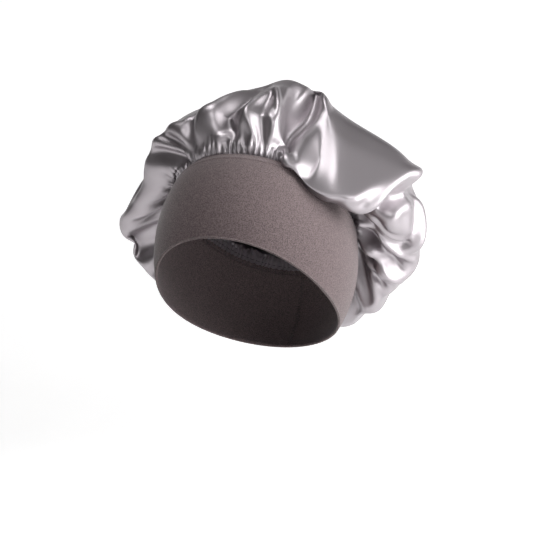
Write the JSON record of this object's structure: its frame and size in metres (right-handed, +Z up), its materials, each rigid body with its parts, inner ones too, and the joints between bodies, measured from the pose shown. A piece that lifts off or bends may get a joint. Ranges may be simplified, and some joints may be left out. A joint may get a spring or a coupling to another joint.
{
  "type": "hair bonnet",
  "caption": "Satin hair bonnet as worn: a full, softly folded round crown gathered into a wide stretch-knit band that runs high over the brow and low at the nape.",
  "frame": {"origin": "centre of the head opening, the oval that the band's lower rim makes", "axes": "+Z up on an upright head, -Y towards the wearer's face, +X towards the wearer's left; the opening faces down and forward"},
  "size_m": [0.255, 0.2572, 0.2236],
  "materials": {
    "satin": "silver-grey satin weave with a strong, soft sheen",
    "knit": "dark taupe heather stretch jersey, matt",
    "thread": "spun polyester sewing thread, matt"
  },
  "bodies": {
    "root": {"crown_panel": "satin", "band_strip": "knit", "overlock_thread": "thread", "joining_thread": "thread", "band_seam_thread": "thread"}
  },
  "joints": []
}
